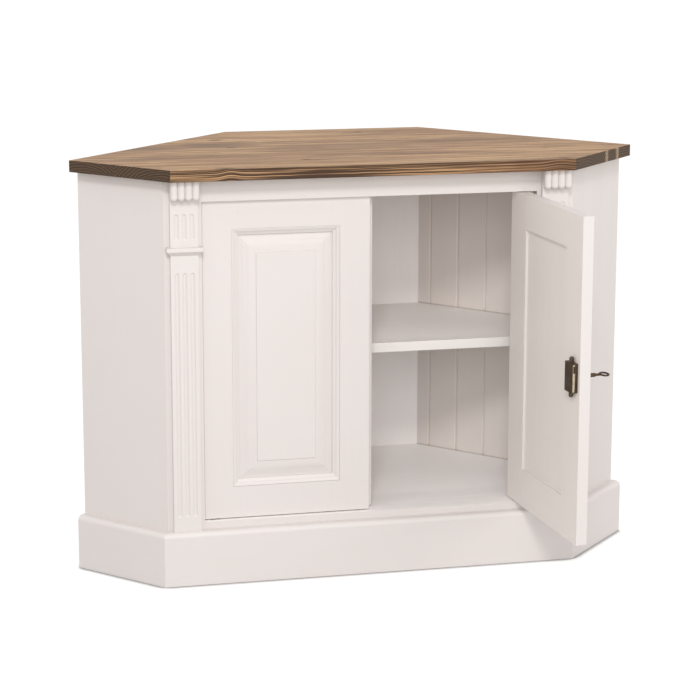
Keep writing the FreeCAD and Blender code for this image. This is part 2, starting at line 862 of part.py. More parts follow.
def raised_panel(sign):
    """Panel that lies in the rebate of the frame: a hollowed margin, a sloped crest, a flat and a field."""
    edge = inset_box(sign, "0", ("panel_edge_front", "panel_back"))
    crest = inset_wedge(sign, "crest_margin", "moulding_width", ("panel_flat_front", "crest_end"))
    foot = inset_box(sign, "moulding_width", ("crest_end", "panel_edge_front"))
    margin = fuse([crest, foot])
    for tool in cove_tools(sign):
        margin = cut(margin, [tool])
    field = inset_box(sign, "field_margin", ("panel_field_front", "panel_flat_front"))
    return fuse([edge, margin, field])


def panel_moulding(sign):
    """Two sloped beads with a step between them round the panel, just behind the face of the door."""
    blank = inset_box(sign, "0", ("moulding_front", "panel_edge_front"))
    room_front = "moulding_front - overrun"
    tools = [
        inset_wedge(sign, "moulding_flat", "bead_width", ("moulding_front", "bead_slope_end")),
        inset_box(sign, "bead_width", (room_front, "bead_step_end")),
        inset_wedge(sign, "bead_width", "moulding_width", ("bead_step_end", "moulding_slope_end")),
        inset_box(sign, "moulding_width", (room_front, "panel_edge_front + overrun")),
    ]
    return cut(blank, tools)


# Pivot hinges
def hinge_bushes():
    """Bushes let into both ends of a hinge stile."""
    bushes = []
    for bottom in ("door_bottom", "door_top - bush_length"):
        shell = cylinder("bush_radius", "bush_length", 0, "-pin_offset", bottom)
        bore_length = "bush_length + 2 * overrun"
        bore_place = (0, "-pin_offset", f"{bottom} - overrun")
        bore = cylinder("pin_radius + pin_clearance", bore_length, *bore_place)
        bushes.append(cut(shell, [bore]))
    return group(bushes)


def hinge_screw_spots(sign):
    """Plan places of the screws behind a pin."""
    return [
        (f"{sign} * pin_x", f"pin_y + {share} * hinge_plate_length - hinge_plate_end")
        for share in HINGE_SCREW_SHARES
    ]


def hinge_plate(sign, upper):
    """Plate let into a rail, flush with its face."""
    half = "hinge_plate_width / 2"
    width = across(sign, f"pin_x - {half}", f"pin_x + {half}")
    depth = ("pin_y - hinge_plate_end", "pin_y - hinge_plate_end + hinge_plate_length")
    if upper:
        return box(width, depth, ("rail_bottom", "rail_bottom + hinge_plate_thickness"))
    return box(width, depth, ("floor_height - hinge_plate_thickness", "floor_height"))


def hinge_screw(spot, upper, extra):
    """Screw, or the room for one: a flush tapered head and a shank."""
    face, turn = ("rail_bottom", None) if upper else ("floor_height", TURN_DOWN)
    shank = cylinder(f"screw_radius + {extra}", "screw_length", *spot, face, turn)
    radii = (f"screw_head_radius + {extra}", f"screw_radius + {extra}")
    head = cone(*radii, "screw_head_height", *spot, face, turn)
    return fuse([shank, head])


def hinge_pin(sign, upper):
    """Pin from inside a plate, across the gap, into the door."""
    spot = (f"{sign} * pin_x", "pin_y")
    if upper:
        length = "hinge_plate_thickness + door_top_gap + pin_reach"
        return cylinder("pin_radius", length, *spot, "rail_bottom + hinge_plate_thickness", TURN_DOWN)
    length = "hinge_plate_thickness + door_gap + pin_reach"
    return cylinder("pin_radius", length, *spot, "floor_height - hinge_plate_thickness")


def make_hinges():
    screws = []
    for side, sign in SIDES.items():
        spots = hinge_screw_spots(sign)
        for level, upper in (("upper", True), ("lower", False)):
            holes = [hinge_screw(spot, upper, "screw_clearance") for spot in spots]
            plate = cut(fuse([hinge_plate(sign, upper), hinge_pin(sign, upper)]), holes)
            keep(plate, f"{side}_{level}_hinge_plate")
            screws += [hinge_screw(spot, upper, "0") for spot in spots]
    keep(group(screws), "hinge_screws")


# Closing strip and slide bolt on the left door, rim lock and key on the right door
def fitting_holes(side):
    """Holes in a meeting stile: key and lock screws on the right door, none on the left one."""
    if side == "left":
        return []
    holes = [lock_screw(way, "screw_clearance") for way in (-1, 1)]
    holes.append(
        cylinder(
            "key_hole_radius",
            "door_thickness + 2 * overrun",
            "-lock_middle",
            "-door_half_thickness - overrun",
            "key_height",
            TURN_TO_Y,
        )
    )
    return holes


def make_closing_strip():
    """Strip behind the meeting edge, with a lip that stays just clear of the other door."""
    height = ("door_bottom", "door_top")
    back = "door_half_thickness + strip_thickness"
    root = box(("strip_end - strip_width", "meeting_edge"), ("door_half_thickness", back), height)
    lip = box(("meeting_edge", "strip_end"), ("door_half_thickness + strip_relief", back), height)
    strip = fuse([root, lip])
    hang(strip, "left")
    keep(strip, "closing_strip")


def make_slide_bolt():
    half = "slide_plate_width / 2"
    block_half = "slide_block_width / 2"
    plate = box(
        (f"slide_middle - {half}", f"slide_middle + {half}"),
        ("door_half_thickness", "slide_plate_back"),
        ("slide_plate_top - slide_plate_height", "slide_plate_top"),
    )
    block = box(
        (f"slide_middle - {block_half}", f"slide_middle + {block_half}"),
        ("slide_plate_back", "slide_plate_back + slide_block_depth"),
        ("slide_plate_middle - slide_block_height / 2", "slide_plate_middle + slide_block_height / 2"),
    )
    bore = cylinder(
        "slide_rod_radius + pin_clearance",
        "slide_plate_height + 2 * overrun",
        "slide_middle",
        "slide_rod_y",
        "slide_plate_top - slide_plate_height - overrun",
    )
    guide = cut(fuse([plate, block]), [bore])
    hang(guide, "left")
    keep(guide, "slide_bolt_guide")
    rod = cylinder("slide_rod_radius", "slide_rod_length", "slide_middle", "slide_rod_y", "slide_rod_bottom")
    knob = cylinder(
        "slide_knob_radius",
        "slide_knob_length",
        "slide_middle",
        "slide_rod_y",
        "slide_rod_bottom + slide_knob_height",
        TURN_TO_Y,
    )
    bolt = fuse([rod, knob])
    hang(bolt, "left")
    keep(bolt, "slide_bolt")


def lock_screw(way, extra):
    """Screw through the lock plate under the case, or the room for one."""
    height = f"lock_height + {way} * (lock_case_height / 2 - lock_screw_inset)"
    place_of_head = ("-lock_middle", "lock_plate_back", height)
    shank = cylinder(f"screw_radius + {extra}", "screw_length", *place_of_head, TURN_TO_MINUS_Y)
    head = cone(
        f"screw_head_radius + {extra}",
        f"screw_radius + {extra}",
        "screw_head_height",
        *place_of_head,
        TURN_TO_MINUS_Y,
    )
    return fuse([shank, head])


def make_lock():
    width = ("-lock_near", "-lock_far")
    plate_depth = ("door_half_thickness", "lock_plate_back")
    base = box(width, plate_depth, ("lock_bottom", "lock_top"))
    lug_place = ("-lock_middle", "(door_half_thickness + lock_back) / 2")
    lugs = [
        cylinder("lock_lug_radius", "lug_straight", *lug_place, "lock_top"),
        ball("lock_lug_radius", *lug_place, "lock_top + lug_straight"),
        cylinder("lock_lug_radius", "lug_straight", *lug_place, "lock_bottom", TURN_DOWN),
        ball("lock_lug_radius", *lug_place, "lock_bottom - lug_straight"),
    ]
    key_hole = cylinder(
        "key_hole_radius",
        "lock_plate_thickness + 2 * overrun",
        "-lock_middle",
        "door_half_thickness - overrun",
        "key_height",
        TURN_TO_Y,
    )
    plate_holes = [key_hole] + [lock_screw(way, "screw_clearance") for way in (-1, 1)]
    case = box(width, ("lock_plate_back", "lock_back"), ("lock_bottom", "lock_top"))
    channel = box(
        ("-lock_near - overrun", "-lock_far - lock_wall"),
        ("bolt_back - lock_bolt_thickness - lock_bolt_clearance", "bolt_back + lock_bolt_clearance"),
        ("bolt_channel_bottom", "bolt_bottom + lock_bolt_height + lock_bolt_clearance"),
    )
    cavity = cylinder(
        "key_cavity_radius",
        "lock_case_depth - lock_wall + overrun",
        "-lock_middle",
        "lock_plate_back - overrun",
        "key_height",
        TURN_TO_Y,
    )
    bolt = box(
        ("-lock_near + lock_bolt_setback", "-lock_near + lock_bolt_setback + lock_bolt_length"),
        ("bolt_back - lock_bolt_thickness", "bolt_back"),
        ("bolt_bottom", "bolt_bottom + lock_bolt_height"),
    )
    pieces = {
        "lock_plate": cut(base, plate_holes),
        "lock_case": cut(fuse([case] + lugs), [channel, cavity]),
        "lock_bolt": group([bolt]),
        "lock_screws": group([lock_screw(way, "0") for way in (-1, 1)]),
        "key": make_key(),
    }
    for label, piece in pieces.items():
        hang(piece, "right")
        keep(piece, label)


def make_key():
    """Key with bit, shank, collar and an oval bow that lies flat."""
    tip = "lock_back - lock_wall - key_tip_gap"
    neck = "-key_front + key_bow_length - key_bow_wire"
    shank = cylinder(
        "key_shank_radius", f"({tip}) - ({neck})", "-lock_middle", tip, "key_height", TURN_TO_MINUS_Y
    )
    bit = box(
        ("-lock_middle", "-lock_middle + key_bit_reach"),
        (f"{tip} - key_bit_length", tip),
        ("key_height - key_bit_thickness / 2", "key_height + key_bit_thickness / 2"),
    )
    collar_start = "-door_half_thickness - key_collar_start"
    collar_end = f"{collar_start} - key_collar_length"
    axis = ("key_height", TURN_TO_MINUS_Y)
    collar = cylinder("key_collar_radius", "key_collar_length", "-lock_middle", collar_start, *axis)
    radii = ("key_collar_radius", "key_shank_radius")
    taper = cone(*radii, "key_taper_length", "-lock_middle", collar_end, *axis)
    return fuse([shank, bit, collar, taper, key_bow()])


def key_bow():
    """Oval ring of round wire about the end of the key."""
    middle = FreeCAD.Vector(
        number("-lock_middle"),
        number("-key_front + key_bow_length / 2"),
        number("key_height"),
    )
    wire = number("key_bow_wire")
    half_width = number("key_bow_width / 2") - wire
    half_length = number("key_bow_length / 2") - wire
    oval = Part.Ellipse(
        middle + FreeCAD.Vector(half_width, 0, 0), middle + FreeCAD.Vector(0, half_length, 0), middle
    )
    spine = Part.Wire([oval.toShape()])
    start = middle + FreeCAD.Vector(half_width, 0, 0)
    section = Part.Wire([Part.makeCircle(wire, start, FreeCAD.Vector(0, 1, 0))])
    bow = doc.addObject("Part::Feature", "KeyBow")
    bow.Shape = spine.makePipeShell([section], True, True)
    return bow


def check_and_write():
    doc.recompute()
    for thing in doc.Objects:
        if "Invalid" in thing.State or "Error" in thing.State:
            raise RuntimeError(f"{thing.Label} failed: {thing.State}")
    for label, thing in parts.items():
        if thing.Shape.isNull() or not thing.Shape.isValid():
            raise RuntimeError(f"{label} has no valid shape")
    for label, thing in parts.items():
        thing.Shape.exportStep(f"parts/{label}.step")
    print(f"{len(parts)} parts written")


make_top()
make_carcass()
make_rails()
make_back_boards()
make_cleats()
make_top_screws()
make_plinth()
make_pilasters()
for door_side in SIDES:
    make_door(door_side)
make_hinges()
make_closing_strip()
make_slide_bolt()
make_lock()
check_and_write()
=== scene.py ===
import json
import math

import bpy
from mathutils import Matrix, Vector

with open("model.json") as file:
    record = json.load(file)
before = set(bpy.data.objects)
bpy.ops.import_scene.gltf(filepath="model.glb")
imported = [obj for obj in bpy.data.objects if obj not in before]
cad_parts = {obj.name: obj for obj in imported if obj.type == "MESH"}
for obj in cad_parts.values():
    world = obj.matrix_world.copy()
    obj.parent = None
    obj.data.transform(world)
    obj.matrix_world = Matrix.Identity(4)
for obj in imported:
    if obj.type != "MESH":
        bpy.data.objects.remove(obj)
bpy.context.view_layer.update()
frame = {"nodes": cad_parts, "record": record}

nodes = frame["nodes"]
slots = {row["node"]: row["material_slot"] for row in frame["record"]["subparts"]}
scene = bpy.context.scene

# Plan of the carcass: the sides stand at 45 degrees to the front, and the right door rests open
SIDE_TURN = {"left": math.radians(-45), "right": math.radians(45)}
DOOR_TURN = {"left": 0.0, "right": math.radians(96.6)}
# Distance of the lock's base plate from the frame's origin, across the open door
LOCK_DEPTH = -0.26950
LOCK_HEIGHT = 0.412
OCCLUSION_SAMPLES = 8


def srgb(red, green, blue):
    """Linear colour of an 8-bit sRGB one."""
    def linear(value):
        value /= 255
        return value / 12.92 if value <= 0.04045 else ((value + 0.055) / 1.055) ** 2.4
    return (linear(red), linear(green), linear(blue), 1.0)


class Shader:
    """Nodes of a material or a world, made by calls that take numbers or other nodes' outputs."""

    def __init__(self, owner, output):
        owner.use_nodes = True
        self.owner = owner
        self.tree = owner.node_tree
        self.tree.nodes.clear()
        self.output = self.add(output)

    def add(self, kind, **settings):
        node = self.tree.nodes.new(kind)
        for key, value in settings.items():
            setattr(node, key, value)
        return node

    def put(self, socket, value):
        if isinstance(value, bpy.types.NodeSocket):
            self.tree.links.new(value, socket)
        elif value is not None:
            socket.default_value = value

    def math(self, operation, *values):
        node = self.add("ShaderNodeMath", operation=operation)
        for socket, value in zip(node.inputs, values):
            self.put(socket, value)
        return node.outputs[0]

    def plus(self, first, second):
        return self.math("ADD", first, second)

    def minus(self, first, second):
        return self.math("SUBTRACT", first, second)

    def times(self, first, second):
        return self.math("MULTIPLY", first, second)

    def over(self, first, second):
        return self.math("DIVIDE", first, second)

    def swing(self, noise, reach):
        """Noise as a shift to either side."""
        return self.times(self.minus(noise, 0.5), reach)

    def length(self, x, y):
        node = self.add("ShaderNodeVectorMath", operation="LENGTH")
        self.put(node.inputs[0], self.join(x, y, 0.0))
        return node.outputs["Value"]

    def along(self, vector, direction):
        """How far the vector reaches along the direction."""
        node = self.add("ShaderNodeVectorMath", operation="DOT_PRODUCT")
        self.put(node.inputs[0], vector)
        self.put(node.inputs[1], direction)
        return node.outputs["Value"]

    def split(self, vector):
        node = self.add("ShaderNodeSeparateXYZ")
        self.put(node.inputs[0], vector)
        return node.outputs

    def join(self, x, y, z):
        node = self.add("ShaderNodeCombineXYZ")
        for socket, value in zip(node.inputs, (x, y, z)):
            self.put(socket, value)
        return node.outputs[0]

    def mapped(self, vector, scale, turn=0.0, offset=(0, 0, 0)):
        """Coordinates turned about Z and then scaled along each axis."""
        turned = self.add("ShaderNodeMapping")
        self.put(turned.inputs["Vector"], vector)
        turned.inputs["Rotation"].default_value = (0, 0, -turn)
        scaled = self.add("ShaderNodeMapping")
        self.put(scaled.inputs["Vector"], turned.outputs[0])
        scaled.inputs["Scale"].default_value = scale
        scaled.inputs["Location"].default_value = offset
        return scaled.outputs[0]

    def noise(self, vector, detail, roughness=0.5, distortion=0.0, scale=1.0):
        node = self.add("ShaderNodeTexNoise")
        self.put(node.inputs["Vector"], vector)
        node.inputs["Scale"].default_value = scale
        node.inputs["Detail"].default_value = detail
        node.inputs["Roughness"].default_value = roughness
        node.inputs["Distortion"].default_value = distortion
        return node.outputs[0]

    def remap(self, value, low, high, to_low=0.0, to_high=1.0, smooth=False):
        node = self.add("ShaderNodeMapRange", interpolation_type="SMOOTHSTEP" if smooth else "LINEAR")
        for socket, item in zip(node.inputs, (value, low, high, to_low, to_high)):
            self.put(socket, item)
        return node.outputs[0]

    def mix(self, share, first, second):
        node = self.add("ShaderNodeMix", data_type="RGBA")
        self.put(node.inputs[0], share)
        self.put(node.inputs[6], first)
        self.put(node.inputs[7], second)
        return node.outputs[2]

    def grey_ramp(self, value, stops):
        node = self.add("ShaderNodeValToRGB")
        self.put(node.inputs[0], value)
        elements = node.color_ramp.elements
        while len(elements) < len(stops):
            elements.new(1.0)
        for element, (position, grey) in zip(elements, stops):
            element.position = position
            element.color = (grey, grey, grey, 1)
        return node.outputs[0]

    def bump(self, height, strength, distance, under=None):
        node = self.add("ShaderNodeBump")
        self.put(node.inputs["Height"], height)
        node.inputs["Strength"].default_value = strength
        node.inputs["Distance"].default_value = distance
        self.put(node.inputs["Normal"], under)
        return node.outputs[0]

    def openness(self, reach):
        """1 on open faces, less in corners and joints within the reach."""
        node = self.add("ShaderNodeAmbientOcclusion", samples=OCCLUSION_SAMPLES)
        node.inputs["Distance"].default_value = reach
        return node.outputs["AO"]

    def seen(self):
        """1 for what the camera sees, also in metal and glass, and 0 for what lights the object."""
        path = self.add("ShaderNodeLightPath")
        mirrored = self.math("MAXIMUM", path.outputs["Is Glossy Ray"], path.outputs["Is Transmission Ray"])
        return self.math("MAXIMUM", path.outputs["Is Camera Ray"], mirrored)


class Finish(Shader):
    """A material in the coordinates of the frame."""

    def __init__(self, name):
        super().__init__(bpy.data.materials.new(name), "ShaderNodeOutputMaterial")
        places = self.add("ShaderNodeTexCoord")
        self.coords, self.normal = places.outputs["Object"], places.outputs["Normal"]

    def surface(self, **values):
        """Principled surface with the given sockets."""
        node = self.add("ShaderNodeBsdfPrincipled")
        for key, value in values.items():
            self.put(node.inputs[key.replace("_", " ").title().replace("Ior", "IOR")], value)
        self.put(self.output.inputs[0], node.outputs[0])
        return self.owner


# Painted wood: warm white satin paint over planed boards, with brush and grain lines along each board
PAINT = srgb(218, 211, 208)
# Painted light: lighter copies of the same paint for the faces inside the carcass, the back boards, the backs of
# the doors and the shelf's edge
INSIDE_PAINTED_LIGHT = srgb(252, 248, 246)
BOARDS_PAINTED_LIGHT = srgb(230, 222, 216)
DOOR_BACK_PAINTED_LIGHT = srgb(234, 226, 220)
SHELF_EDGE_PAINTED_LIGHT = srgb(232, 227, 223)
WEAR = srgb(208, 196, 187)
# Painted shade in the back boards' joints and corners: its colour, its reach and its strength
PAINTED_JOINT_SHADE = srgb(150, 136, 122)
PAINTED_SHADE_REACH = 0.0045
BOARD_PAINTED_SHADE = 0.6
# Scales of the fine lines and of the broad figure in each direction
PAINT_LINES = {"Z": (420, 420, 7), "X": (7, 420, 420)}
PAINT_FIGURE = {"Z": (46, 46, 2.2), "X": (2.2, 46, 46)}
PAINT_CLOUD_SCALE, PAINT_PEEL_SCALE = 5.0, 900.0


def painted(name, grain, turn=0.0, paint=PAINT, inner=None, inner_painted_light=INSIDE_PAINTED_LIGHT, painted_shade=0.0):
    """Paint on a board whose grain runs along Z, or along X after a turn about Z. Faces that look along the inner
    direction get a lighter copy of the paint as painted light, and painted shade darkens the joints."""
    shader = Finish(name)
    lines = shader.noise(shader.mapped(shader.coords, PAINT_LINES[grain], turn), 3.0, 0.6)
    figure = shader.noise(shader.mapped(shader.coords, PAINT_FIGURE[grain], turn), 3.0, 0.55, 0.4)
    clouds = shader.noise(shader.coords, 2.0, scale=PAINT_CLOUD_SCALE)
    peel = shader.noise(shader.coords, 2.0, scale=PAINT_PEEL_SCALE)
    # Painted light: faces that look along the inner direction get the lighter copy of the paint
    if inner:
        paint = shader.mix(shader.remap(shader.along(shader.normal, inner), 0.4, 0.6), paint, inner_painted_light)
    wear = shader.remap(clouds, 0.35, 0.7, 0.0, 0.09)
    wear = shader.plus(wear, shader.remap(figure, 0.52, 0.72, 0.0, 0.05))
    wear = shader.plus(wear, shader.remap(lines, 0.55, 0.8, 0.0, 0.07))
    tone = shader.mix(wear, paint, WEAR)
    # Painted shade: darker where joints and corners close in around the surface
    if painted_shade:
        tone = shader.mix(shader.remap(shader.openness(PAINTED_SHADE_REACH), 0.9, 0.5, 0.0, painted_shade), tone, PAINTED_JOINT_SHADE)
    rough = shader.remap(figure, 0.3, 0.7, 0.4, 0.52)
    height = shader.plus(shader.times(lines, 0.6), shader.times(figure, 0.9))
    relief = shader.bump(peel, 0.04, 0.0004, shader.bump(height, 0.07, 0.0008))
    return shader.surface(base_color=tone, roughness=rough, normal=relief, specular_ior_level=0.42)


# Stained wood of the top: glued boards along X. The upper face has streaks that go round the knots, the front
# edge shows the cut rings as wavy lines, and the sawn ends show them as arcs
BOARD_WIDTH = 0.104
FIRST_JOINT = 0.047
RING, END_RING = 0.0042, 0.0047
# Late wood darkens towards the end of each ring, and stops at once
RING_STOPS = ((0.0, 0.0), (0.42, 0.10), (0.74, 0.75), (0.90, 1.0), (1.0, 0.0))
FRONT_EDGE = -0.030
FRONT_MIDDLE = -0.03
# Place and reach of each knot, on the upper face and along the front edge
KNOTS = (
    (-0.232, 0.345, 0.040),
    (-0.218, 0.236, 0.032),
    (0.358, 0.128, 0.018),
    (0.490, 0.138, 0.014),
    (0.348, -0.018, 0.030),
    (-0.266, -0.022, 0.034),
    (-0.110, 0.060, 0.026),
    (0.060, 0.405, 0.024),
)
FRONT_KNOTS = ((-0.262, 0.016), (0.336, 0.024))
# Place, length and width of each darker patch
VEILS = (
    (-0.40, 0.25, 0.12, 0.045),
    (-0.24, 0.27, 0.09, 0.050),
    (-0.02, 0.20, 0.20, 0.050),
    (0.20, 0.258, 0.10, 0.028),
)
# Y of the streaks on the right end that the stain missed
PALE_STREAKS = (0.060, 0.091)
WOOD_PALE, WOOD_BROWN = srgb(214, 174, 129), srgb(170, 131, 95)
WOOD_VEIL = srgb(118, 94, 74)
WOOD_GRAIN = srgb(112, 81, 55)
WOOD_FINE = srgb(104, 76, 52)
WOOD_LATE = srgb(112, 82, 58)
WOOD_FLECK = srgb(100, 74, 53)
WOOD_FIBRE = srgb(92, 66, 46)
WOOD_KNOT = srgb(74, 50, 34)
WOOD_ARRIS = srgb(84, 58, 40)
FRONT_PALE, FRONT_BROWN, FRONT_LINE = srgb(192, 151, 109), srgb(146, 108, 77), srgb(66, 46, 33)
END_PALE, END_DARK, END_PORE = srgb(93, 73, 55), srgb(40, 30, 23), srgb(46, 35, 28)
END_STREAK = srgb(196, 172, 140)


def round_knots(shader, x, y):
    """Y of the fibres, which go round the knots, the shift of the rings there, and the share of each dark heart."""
    bent_y, swirl, knot_share = y, 0.0, 0.0
    for knot_x, knot_y, reach in KNOTS:
        above = shader.minus(y, knot_y)
        away = shader.length(shader.times(shader.minus(x, knot_x), 0.5), above)
        fall = shader.math("POWER", shader.over(away, reach), 2.0)
        swell = shader.math("EXPONENT", shader.times(fall, -1.6))
        bent_y = shader.minus(bent_y, shader.times(swell, shader.times(above, 0.8)))
        swirl = shader.plus(swirl, shader.times(swell, reach * 0.8))
        heart = shader.remap(away, reach * 0.26, reach * 0.08, smooth=True)
        knot_share = shader.math("MAXIMUM", knot_share, heart)
    return bent_y, swirl, knot_share


def ring_radius(shader, x, y, z, swirl, ripple):
    """Distance from the heart of the trunk that each glued board comes from, with slow bends and ripples."""
    board_at = shader.over(shader.plus(y, FIRST_JOINT), BOARD_WIDTH)
    board = shader.math("FLOOR", board_at)
    chance = shader.add("ShaderNodeTexWhiteNoise", noise_dimensions="1D")
    shader.put(chance.inputs["W"], board)
    pick = shader.split(chance.outputs["Color"])
    place = shader.plus(x, shader.times(pick[0], 9.0))
    in_board = shader.times(shader.minus(board_at, board), BOARD_WIDTH)
    heart_y = shader.remap(pick[1], 0.0, 1.0, 0.012, 0.070)
    heart_z = shader.remap(pick[2], 0.0, 1.0, 0.670, 0.715)
    sway = shader.swing(shader.noise(shader.join(shader.times(place, 3.2), board, 0.0), 1.0), 0.05)
    across = shader.minus(shader.plus(in_board, sway), heart_y)
    up = shader.minus(shader.plus(z, shader.times(sway, 0.22)), heart_z)
    radius = shader.plus(shader.length(across, up), shader.swing(ripple, 0.009))
    return shader.plus(radius, swirl)


def rings(shader, radius, width):
    return shader.grey_ramp(shader.math("FRACT", shader.over(radius, width)), RING_STOPS)


def upper_face(shader, x, y, fibres, veil, fine, fibre, late, knot_share):
    """Streaks, darker veils, flecks and fine dark fibres, and a worn arris towards the front edge."""
    streak = shader.noise(shader.mapped(fibres, (2.6, 46, 46)), 5.0, 0.62, 0.5)
    grain = shader.noise(shader.mapped(fibres, (3.2, 90, 90), 0.0, (7, 1, 0)), 3.0, 0.6, 0.4)
    flecks = shader.noise(shader.mapped(fibres, (22, 260, 260), 0.0, (3, 8, 0)), 4.0, 0.68)
    shade = shader.remap(veil, 0.52, 0.72, 0.0, 0.4)
    for place_x, place_y, length, width in VEILS:
        aside = shader.over(shader.minus(x, place_x), length)
        above = shader.over(shader.minus(y, place_y), width)
        patch = shader.remap(shader.length(aside, above), 1.4, 0.2, smooth=True)
        patch = shader.times(patch, shader.remap(veil, 0.35, 0.60, 0.3, 0.8))
        shade = shader.math("MAXIMUM", shade, patch)
    near_edge = shader.remap(shader.minus(y, FRONT_EDGE), 0.009, 0.001)
    chips = shader.noise(shader.mapped(shader.coords, (7, 260, 0)), 3.0, 0.6)
    tone = shader.mix(shader.remap(streak, 0.38, 0.60), WOOD_PALE, WOOD_BROWN)
    for share, colour in (
        (shade, WOOD_VEIL),
        (shader.remap(grain, 0.46, 0.62, 0.0, 0.7), WOOD_GRAIN),
        (shader.remap(fine, 0.50, 0.66, 0.0, 0.5), WOOD_FINE),
        (shader.times(late, 0.20), WOOD_LATE),
        (shader.remap(flecks, 0.50, 0.68, 0.0, 0.55), WOOD_FLECK),
        (shader.remap(fibre, 0.54, 0.75, 0.0, 0.4), WOOD_FIBRE),
        (shader.times(knot_share, 0.8), WOOD_KNOT),
        (shader.times(near_edge, shader.remap(chips, 0.46, 0.62, 0.0, 0.8)), WOOD_ARRIS),
    ):
        tone = shader.mix(share, tone, colour)
    return tone


def front_edge(shader, x, z, veil):
    """Dark wavy lines on honey, closer in the middle of the edge's length."""
    slow = shader.noise(shader.join(shader.times(x, 2.3), 5.0, 0.0), 1.0)
    quick = shader.noise(shader.join(shader.times(x, 15.0), 9.0, 0.0), 2.0)
    height = shader.plus(shader.plus(z, shader.swing(slow, 0.010)), shader.swing(quick, 0.0030))
    for knot_x, reach in FRONT_KNOTS:
        aside = shader.over(shader.minus(x, knot_x), reach)
        swell = shader.math("EXPONENT", shader.times(shader.math("POWER", aside, 2.0), -1.0))
        height = shader.plus(height, shader.times(swell, -0.0035))
    lines = shader.noise(shader.join(shader.times(x, 3.0), shader.times(height, 400.0), 3.0), 3.0, 0.62)
    honey = shader.mix(shader.remap(veil, 0.42, 0.60), FRONT_PALE, FRONT_BROWN)
    middle = shader.remap(shader.math("ABSOLUTE", shader.minus(x, FRONT_MIDDLE)), 0.34, 0.16)
    line_share = shader.plus(lines, shader.times(middle, 0.06))
    return shader.mix(shader.remap(line_share, 0.40, 0.57, smooth=True), honey, FRONT_LINE)


def sawn_ends(shader, x, y, ripple, late):
    """Dark end grain with paler arcs, open pores and, on the right, two streaks that the stain missed."""
    pores = shader.noise(shader.mapped(shader.coords, (300, 500, 500)), 2.0, 0.6)
    tone = shader.mix(late, END_PALE, END_DARK)
    tone = shader.mix(shader.remap(pores, 0.5, 0.72, 0.0, 0.5), tone, END_PORE)
    wobble = shader.plus(y, shader.swing(ripple, 0.010))
    on_right = shader.remap(x, 0.30, 0.42)
    for place in PALE_STREAKS:
        aside = shader.math("ABSOLUTE", shader.minus(wobble, place))
        share = shader.times(shader.remap(aside, 0.0060, 0.0006, 0.0, 0.70), on_right)
        share = shader.times(share, shader.remap(pores, 0.34, 0.60, 0.35, 1.0))
        tone = shader.mix(share, tone, END_STREAK)
    return tone


def stained():
    shader = Finish("stained_wood")
    x, y, z = shader.split(shader.coords)
    bent_y, swirl, knot_share = round_knots(shader, x, y)
    fibres = shader.join(x, bent_y, z)
    ripple = shader.noise(shader.mapped(shader.coords, (11, 40, 40)), 4.0, 0.55)
    radius = ring_radius(shader, x, y, z, swirl, ripple)
    late = rings(shader, radius, RING)
    fine = shader.noise(shader.mapped(fibres, (4.5, 190, 190)), 4.0, 0.62, 0.3)
    veil = shader.noise(shader.mapped(fibres, (1.6, 12, 12), 0.0, (4, 2, 0)), 4.0, 0.6, 0.9)
    fibre = shader.noise(shader.mapped(fibres, (16, 900, 900)), 3.0, 0.65)
    # faces cut along the grain and faces sawn across it
    normal = shader.split(shader.normal)
    sawn = shader.remap(shader.math("ABSOLUTE", normal[0]), 0.45, 0.65)
    front = shader.remap(shader.math("ABSOLUTE", normal[1]), 0.70, 0.92)
    upper = upper_face(shader, x, y, fibres, veil, fine, fibre, late, knot_share)
    tone = shader.mix(front, upper, front_edge(shader, x, z, veil))
    tone = shader.mix(sawn, tone, sawn_ends(shader, x, y, ripple, rings(shader, radius, END_RING)))
    rough = shader.remap(fibre, 0.3, 0.7, 0.46, 0.64)
    relief = shader.bump(fine, 0.25, 0.0006, shader.bump(fibre, 0.22, 0.0005))
    relief = shader.bump(late, 0.10, 0.0006, relief)
    return shader.surface(base_color=tone, roughness=rough, normal=relief, specular_ior_level=0.22)


def raw_wood():
    """Unfinished softwood of the hidden cleats."""
    shader = Finish("raw_wood")
    grain = shader.noise(shader.mapped(shader.coords, (3, 140, 140)), 3.0, 0.6, 0.5)
    return shader.surface(
        base_color=shader.mix(shader.remap(grain, 0.4, 0.65), srgb(206, 178, 138), srgb(172, 138, 98)),
        roughness=shader.remap(grain, 0.3, 0.7, 0.6, 0.75),
        normal=shader.bump(grain, 0.2, 0.0005),
    )


PATINA_SCALE = 160.0


def metal(name, base, worn, rough, metallic, wear):
    """Metal with a patina: cloudy colour, fine scratches and uneven gloss."""
    shader = Finish(name)
    cloud = shader.noise(shader.coords, 4.0, 0.6, scale=PATINA_SCALE)
    scratch = shader.noise(shader.mapped(shader.coords, (2600, 2600, 160)), 2.0)
    tone = shader.mix(shader.remap(cloud, 0.45, 0.72, 0.0, wear), base, worn)
    tone = shader.mix(shader.remap(scratch, 0.6, 0.8, 0.0, 0.3), tone, worn)
    return shader.surface(
        base_color=tone,
        metallic=metallic,
        roughness=shader.remap(cloud, 0.3, 0.7, rough - 0.08, rough + 0.12),
        normal=shader.bump(scratch, 0.08, 0.0002, shader.bump(cloud, 0.12, 0.0004)),
    )


